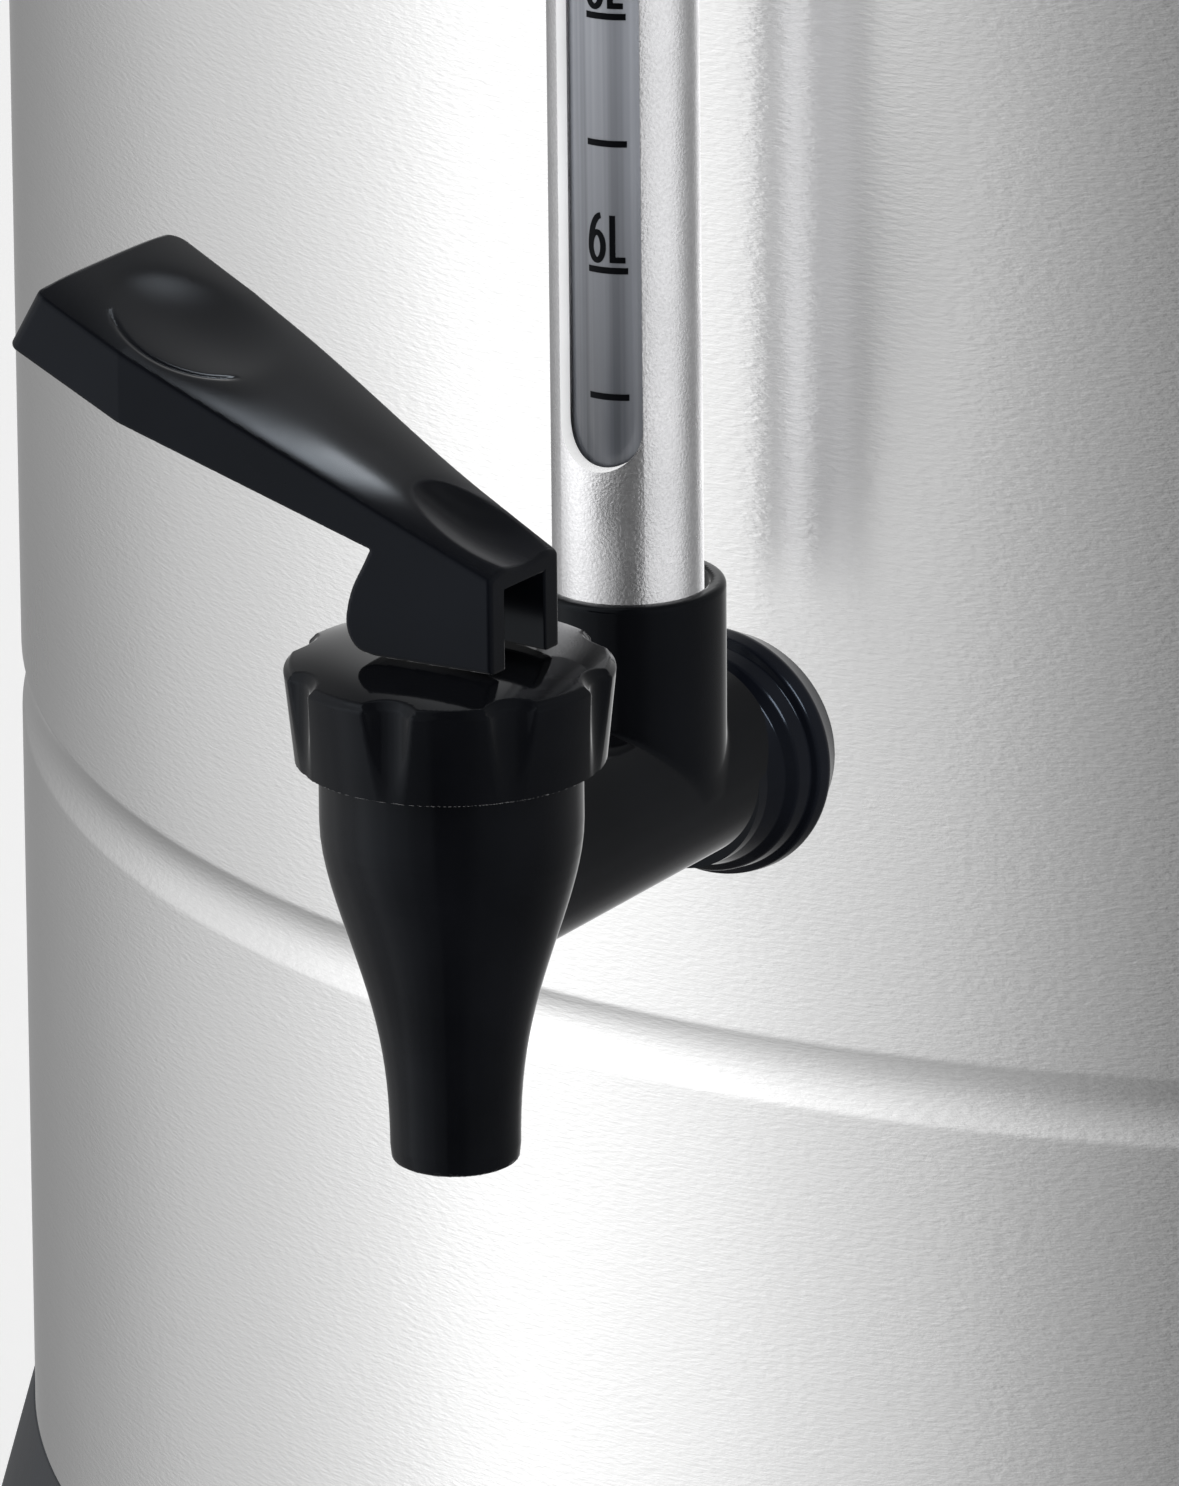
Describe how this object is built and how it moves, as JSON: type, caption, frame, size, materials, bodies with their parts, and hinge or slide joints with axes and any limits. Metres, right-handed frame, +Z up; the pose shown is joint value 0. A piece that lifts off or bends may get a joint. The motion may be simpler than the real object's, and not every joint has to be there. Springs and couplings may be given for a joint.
{
  "type": "electric water boiler",
  "caption": "Upright steel water urn with a heated base, lift-off lid, side handles, a slotted sight gauge and a self-closing lever tap on the front.",
  "frame": {"origin": "on the table, under the middle of the whole object's box", "axes": "+Z up, -Y to the front where the tap is, +X to the right of someone who faces the tap"},
  "size_m": [0.392, 0.4014, 0.5272],
  "materials": {
    "steel": "brushed stainless steel, lines round the drum",
    "bright_steel": "plain bright steel",
    "black_plastic": "black, satin to gloss",
    "base_plastic": "black, fine grain",
    "satin_alloy": "satin blasted and anodised",
    "tube": "clear, slightly smoky",
    "silicone": "soft white silicone",
    "foot_rubber": "matt black rubber",
    "white_plastic": "natural white moulding",
    "brass": "turned brass",
    "zinc": "zinc-plated sheet",
    "phenolic": "brown phenolic moulding",
    "copper": "drawn copper",
    "red_lens": "clear red",
    "amber_lens": "clear amber",
    "switch_green": "clear green rocker",
    "reset_red": "red button",
    "wire_red": "silicone-covered wire"
  },
  "bodies": {
    "urn": {"body_shell": "steel", "tank_floor": "steel", "handle_right": "black_plastic", "handle_left": "black_plastic", "handle_screws": "bright_steel", "gauge_cover": "satin_alloy", "gauge_tube": "tube", "gauge_seal": "silicone", "gauge_cap": "black_plastic", "gauge_grommet": "silicone", "gauge_screw": "bright_steel", "tap_body": "black_plastic", "tap_collar": "black_plastic", "tap_gasket": "silicone", "tap_nut": "brass", "tap_bonnet": "black_plastic", "tap_spring": "bright_steel", "base_ring": "base_plastic", "bottom_cover": "zinc", "cover_screws": "bright_steel", "feet": "foot_rubber", "control_panel": "base_plastic", "thermostat": "phenolic", "switch_frame": "base_plastic", "lamp_power": "red_lens", "lamp_keep_warm": "amber_lens", "power_inlet": "black_plastic", "inlet_pins": "brass", "inlet_screws": "bright_steel", "heating_element": "zinc", "element_bushings": "brass", "element_nuts": "brass", "sensor_bulbs": "copper", "sensor_clip": "bright_steel", "thermal_cutout": "phenolic", "terminal_block": "white_plastic", "wiring": "wire_red"},
    "lid": {"lid_shell": "steel", "lid_ferrule": "black_plastic", "lid_knob": "black_plastic", "lid_screw": "bright_steel"},
    "lever_bush": {"tap_guide": "white_plastic"},
    "valve": {"tap_plunger": "white_plastic", "tap_seat": "silicone"},
    "lever": {"tap_lever": "black_plastic", "lever_pin": "bright_steel"},
    "temperature_knob": {"control_knob": "black_plastic", "thermostat_spindle": "bright_steel"},
    "rocker": {"power_switch": "switch_green"},
    "reset": {"reset_button": "reset_red"}
  },
  "joints": [
    {"name": "lid_lift", "type": "slide", "parent": "urn", "child": "lid", "axis": [0, 0, 1], "range_m": [0, 0.2]},
    {"name": "lever_swivel", "type": "hinge", "parent": "urn", "child": "lever_bush", "pos_m": [0, -0.18371, 0.2176], "axis": [0, 0, 1], "range_deg": [-45, 235]},
    {"name": "plunger_lift", "type": "slide", "parent": "lever_bush", "child": "valve", "axis": [0, 0, 1], "range_m": [0, 0.00188], "stiffness_N_per_m": 500, "springref_m": -0.003, "deforming": ["tap_spring"]},
    {"name": "lever_tilt", "type": "hinge", "parent": "valve", "child": "lever", "pos_m": [0, -0.18371, 0.2256], "axis": [-0.0872, -0.9962, 0], "range_deg": [0, 30]},
    {"name": "temperature_turn", "type": "hinge", "parent": "urn", "child": "temperature_knob", "pos_m": [0, -0.14544, 0.04], "axis": [0, -1, 0], "range_deg": [-270, 0]},
    {"name": "switch_rock", "type": "hinge", "parent": "urn", "child": "rocker", "pos_m": [0.034, -0.14144, 0.04], "axis": [1, 0, 0], "range_deg": [-18, 0]},
    {"name": "reset_press", "type": "slide", "parent": "urn", "child": "reset", "axis": [0, 0, 1], "range_m": [0, 0.002], "stiffness_N_per_m": 500, "springref_m": -0.002}
  ],
  "couplings": [
    {"joint": "lever_tilt", "follows": "plunger_lift", "rad_per_m": 277.78}
  ]
}
